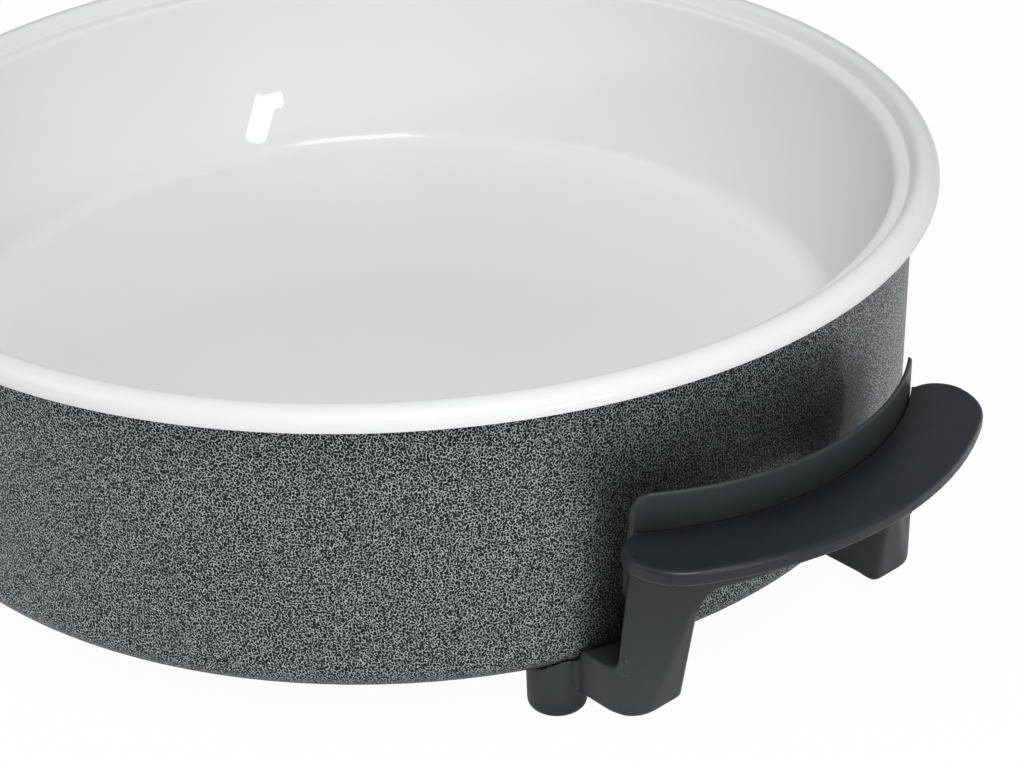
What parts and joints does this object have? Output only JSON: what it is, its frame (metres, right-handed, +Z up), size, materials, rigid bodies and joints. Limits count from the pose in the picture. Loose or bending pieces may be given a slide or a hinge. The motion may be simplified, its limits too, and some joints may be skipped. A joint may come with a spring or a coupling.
{
  "type": "electric skillet",
  "caption": "Round deep electric skillet with a pale coated bowl, lid seat, speckled dark shell, side grips on legs, and a plug-in temperature control with dial and probe.",
  "frame": {"origin": "middle of the bounding box at the table, under the feet; the pan's axis stands at x 33.05 mm, y 0", "axes": "+Z up from the table; +X through both handles, away from the temperature control; +Y across"},
  "size_m": [0.5782, 0.421, 0.134],
  "materials": {
    "pan_coating": "white ceramic coating, satin",
    "shell_paint": "charcoal textured coating with a fine light fleck",
    "cast_plate": "as cast",
    "element_sheath": "heat-darkened",
    "plated_pins": "nickel plate",
    "plated_steel": "zinc plate",
    "shield_sheet": "mill finish",
    "cover_sheet": "grey coating",
    "inlet_ceramic": "unglazed",
    "handle_plastic": "moulded, satin",
    "grip_plastic": "moulded, satin",
    "control_plastic": "moulded, fine texture",
    "dial_plastic": "moulded",
    "contact_brass": "bright",
    "probe_steel": "polished",
    "lamp_lens": "clear red lens",
    "gland_rubber": "matt"
  },
  "bodies": {
    "skillet": {"cooking_pan": "pan_coating", "outer_shell": "shell_paint", "heat_plate": "cast_plate", "heating_element": "element_sheath", "terminal_pins": "plated_pins", "element_clips": "plated_steel", "clip_screws": "plated_steel", "heat_shield": "shield_sheet", "bottom_cover": "cover_sheet", "cover_fasteners": "plated_steel", "tie_stud": "plated_steel", "tie_washer": "plated_steel", "tie_nut": "plated_steel", "inlet_block": "inlet_ceramic", "inlet_collar": "handle_plastic", "inlet_screws": "plated_steel", "earth_strap": "contact_brass", "anchor_plates": "plated_steel", "right_bracket": "handle_plastic", "left_bracket": "handle_plastic", "right_grip": "grip_plastic", "left_grip": "grip_plastic", "right_grip_screws": "plated_steel", "left_grip_screws": "plated_steel", "right_foot_screws": "plated_steel", "left_foot_screws": "plated_steel"},
    "control": {"control_upper": "control_plastic", "control_lower": "control_plastic", "control_screws": "plated_steel", "contact_sleeves": "contact_brass", "switch_blades": "contact_brass", "thermostat_switch": "inlet_ceramic", "probe": "probe_steel", "pilot_lamp": "lamp_lens", "cord_gland": "gland_rubber"},
    "dial": {"dial": "dial_plastic", "dial_spindle": "plated_steel"}
  },
  "joints": [
    {"name": "control_slide", "type": "slide", "parent": "skillet", "child": "control", "axis": [-1, 0, 0], "range_m": [0, 0.11]},
    {"name": "dial_turn", "type": "hinge", "parent": "control", "child": "dial", "pos_m": [-0.25455, 0, 0.0635], "axis": [0, 0, -1], "range_deg": [0, 270]}
  ]
}
